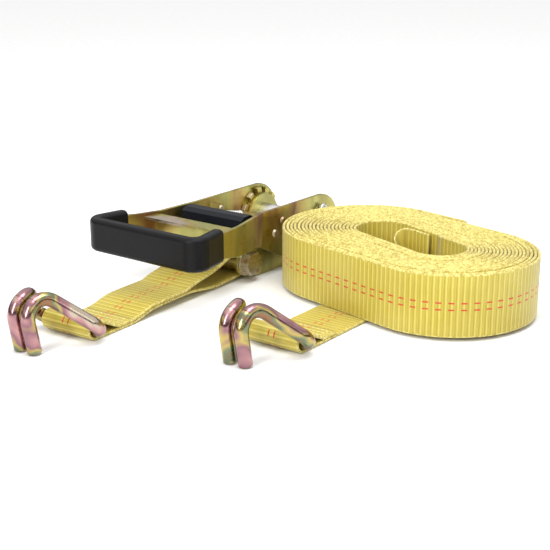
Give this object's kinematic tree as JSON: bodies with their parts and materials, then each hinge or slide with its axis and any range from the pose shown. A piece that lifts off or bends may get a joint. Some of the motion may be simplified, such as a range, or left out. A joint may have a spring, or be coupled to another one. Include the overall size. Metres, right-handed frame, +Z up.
{
  "type": "ratchet tie down",
  "caption": "Long-handled ratchet tie down with double-J wire hooks: a buckle on a short webbing strap, beside its long strap rolled up on edge.",
  "frame": {"origin": "middle of the whole layout's bounding box, on the surface it lies on", "axes": "+X along the buckle from the handle's grip to the mandrel, +Y across the buckle away from the rolled strap, +Z up"},
  "size_m": [0.3784, 0.3516, 0.065],
  "materials": {
    "zinc_steel": "yellow-passivated zinc plate, semi-gloss with an olive to magenta iridescence",
    "bright_steel": "bright zinc plate, satin",
    "spring_steel": "drawn wire, semi-gloss",
    "grip_rubber": "moulded, matt with a faint sheen",
    "black_plastic": "moulded, satin",
    "webbing": "woven polyester with two fine red tracer lines"
  },
  "bodies": {
    "frame": {"frame": "zinc_steel", "spring_seat": "zinc_steel", "anchor_bolt": "zinc_steel", "anchor_nut": "zinc_steel", "bolt_washers": "zinc_steel", "anchor_sleeve": "bright_steel", "locking_spring": "spring_steel"},
    "handle": {"handle_frame": "zinc_steel", "handle_web": "zinc_steel", "spring_bracket": "zinc_steel", "handle_rivets": "bright_steel", "handle_grip": "grip_rubber", "pawl_spring_left": "spring_steel", "pawl_spring_right": "spring_steel"},
    "drive_pawl": {"drive_pawl": "zinc_steel", "pull_bar": "black_plastic"},
    "locking_pawl": {"locking_pawl": "zinc_steel"},
    "mandrel": {"mandrel_half_upper": "bright_steel", "mandrel_half_lower": "bright_steel", "ratchet_gear_left": "zinc_steel", "ratchet_gear_right": "zinc_steel", "mandrel_washers": "bright_steel", "cotter_pins": "bright_steel"},
    "short_strap": {"short_strap": "webbing"},
    "hook_short": {"hook_short": "zinc_steel"},
    "long_strap": {"long_strap_tail": "webbing", "long_strap_roll": "webbing"},
    "hook_long": {"hook_long": "zinc_steel"}
  },
  "joints": [
    {"name": "handle_hinge", "type": "hinge", "parent": "frame", "child": "handle", "pos_m": [0.16008, 0.11233, 0.03], "axis": [0, 1, 0], "range_deg": [0, 180]},
    {"name": "mandrel_turn", "type": "hinge", "parent": "frame", "child": "mandrel", "pos_m": [0.16008, 0.11233, 0.03], "axis": [0, 1, 0], "continuous": true},
    {"name": "drive_pawl_slide", "type": "slide", "parent": "handle", "child": "drive_pawl", "axis": [-0.9744, 0, 0.225], "range_m": [-0.005, 0.003], "stiffness_N_per_m": 900, "deforming": ["pawl_spring_left", "pawl_spring_right"]},
    {"name": "locking_pawl_slide", "type": "slide", "parent": "frame", "child": "locking_pawl", "axis": [-0.9563, 0, -0.2924], "range_m": [0, 0.006], "stiffness_N_per_m": 900, "deforming": ["locking_spring"]},
    {"name": "short_strap_swing", "type": "hinge", "parent": "frame", "child": "short_strap", "pos_m": [0.05808, 0.11233, 0.0165], "axis": [0, 1, 0], "range_deg": [-75, 12]},
    {"name": "hook_short_swing", "type": "hinge", "parent": "short_strap", "child": "hook_short", "pos_m": [-0.13074, 0.10409, 0.0085], "axis": [-0.0436, 0.999, 0], "range_deg": [-60, 40]},
    {"name": "long_strap_slide", "type": "slide", "parent": "frame", "child": "long_strap", "axis": [0, -1, 0], "range_m": [0, 0.05]},
    {"name": "hook_long_swing", "type": "hinge", "parent": "long_strap", "child": "hook_long", "pos_m": [-0.05592, -0.03867, 0.0085], "axis": [0, 1, 0], "range_deg": [-60, 40]}
  ]
}
